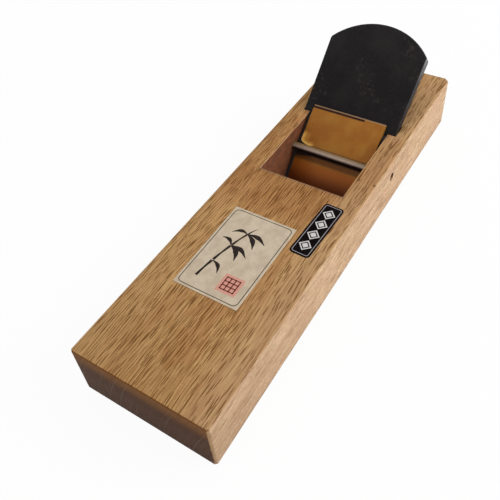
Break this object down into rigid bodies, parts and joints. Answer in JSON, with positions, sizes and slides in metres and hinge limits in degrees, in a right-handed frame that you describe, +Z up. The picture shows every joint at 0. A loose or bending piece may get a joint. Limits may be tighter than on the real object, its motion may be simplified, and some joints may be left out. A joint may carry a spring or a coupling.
{
  "type": "wooden hand plane",
  "caption": "Pull-stroke wooden smoothing plane: oak block, thick tapered blade with arched head, chipbreaker held down by a steel bar across the throat.",
  "frame": {"origin": "middle of the sole, under the middle of the block", "axes": "+X along the block towards its struck end, +Y across it, +Z up from the sole"},
  "size_m": [0.324, 0.09, 0.0867],
  "materials": {
    "oak": "planed oak, unfinished",
    "bar_steel": "drawn steel bar",
    "forge_scale": "black forge scale, ground grey on its sides",
    "edge_steel": "ground steel",
    "gold_lacquer": "amber lacquer over bright iron",
    "breaker_edge_steel": "steel under the same amber lacquer",
    "label_paper": "beige paper, printed",
    "strip_paper": "black printed paper"
  },
  "bodies": {
    "block": {"plane_block": "oak", "retaining_pin": "bar_steel", "paper_label": "label_paper", "strip_label": "strip_paper"},
    "blade": {"blade_iron": "forge_scale", "blade_steel": "edge_steel"},
    "chipbreaker": {"chipbreaker_iron": "gold_lacquer", "chipbreaker_steel": "breaker_edge_steel"}
  },
  "joints": [
    {"name": "blade_slide", "type": "slide", "parent": "block", "child": "blade", "axis": [0.7809, 0, 0.6247], "range_m": [-0.0015, 0.075]},
    {"name": "chipbreaker_slide", "type": "slide", "parent": "blade", "child": "chipbreaker", "axis": [0.7671, 0, 0.6416], "range_m": [-0.0014, 0.065]}
  ]
}
